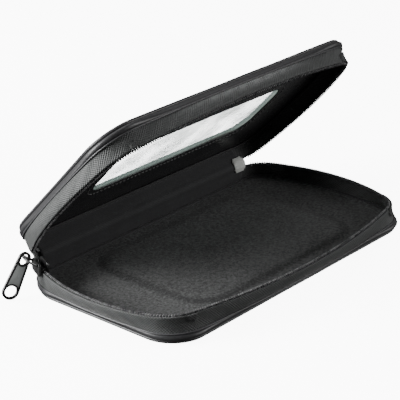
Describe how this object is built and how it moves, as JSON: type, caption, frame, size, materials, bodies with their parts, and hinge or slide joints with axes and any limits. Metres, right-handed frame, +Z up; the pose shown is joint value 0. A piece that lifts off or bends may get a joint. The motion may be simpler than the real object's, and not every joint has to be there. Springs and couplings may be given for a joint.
{
  "type": "pen case",
  "caption": "Flat rounded zip-round case for fountain pens, padded covers, clear window in the hinged lid, shown half open.",
  "frame": {"origin": "on the flat underside of the base, under the middle of the base panel", "axes": "+X along the hinge towards the end without the slider, +Y from the mouth to the hinge, +Z up"},
  "size_m": [0.1933, 0.1093, 0.0911],
  "materials": {
    "leatherette": "padded leatherette, soft sheen",
    "foam": "soft foam",
    "board": "grey stiffening board",
    "fleece": "brushed fleece",
    "lid_lining": "smooth glossy leatherette",
    "binding": "woven ribbon binding",
    "zip_tape": "woven polyester, slight sheen",
    "zip_coil": "black nylon",
    "ribbon": "pale woven ribbon",
    "film": "clear flexible film",
    "slider_enamel": "gloss black enamel",
    "tab_enamel": "black enamel with a grey sunk panel"
  },
  "bodies": {
    "base": {"base_cover": "leatherette", "base_padding": "foam", "base_board": "board", "base_lining": "fleece", "base_binding": "binding", "base_piping": "leatherette", "base_tape": "zip_tape", "base_coil": "zip_coil", "base_start_stop": "zip_coil", "base_end_stop": "zip_coil", "base_spine": "leatherette", "base_spine_lining": "binding", "base_ribbon": "ribbon", "base_foam": "foam"},
    "lid": {"lid_cover": "leatherette", "lid_padding": "foam", "lid_board": "board", "lid_lining": "lid_lining", "lid_binding": "binding", "lid_piping": "leatherette", "lid_tape": "zip_tape", "lid_coil": "zip_coil", "lid_start_stop": "zip_coil", "lid_end_stop": "zip_coil", "lid_spine": "leatherette", "lid_spine_lining": "binding", "lid_ribbon": "ribbon", "lid_window": "film"},
    "slider": {"slider_body": "slider_enamel", "slider_bail": "slider_enamel"},
    "pull": {"pull_tab": "tab_enamel"}
  },
  "joints": [
    {"name": "lid_hinge", "type": "hinge", "parent": "base", "child": "lid", "pos_m": [0, 0.04725, 0.014], "axis": [-1, 0, 0], "range_deg": [-47, 133]},
    {"name": "slider_travel", "type": "hinge", "parent": "base", "child": "slider", "pos_m": [-0.00125, 0, 0.014], "axis": [0, 0, 1], "range_deg": [0, 40.5]},
    {"name": "pull_swing", "type": "hinge", "parent": "slider", "child": "pull", "pos_m": [-0.09143, 0.0411, 0.0194], "axis": [0.4147, 0.91, 0], "range_deg": [0, 112]}
  ]
}
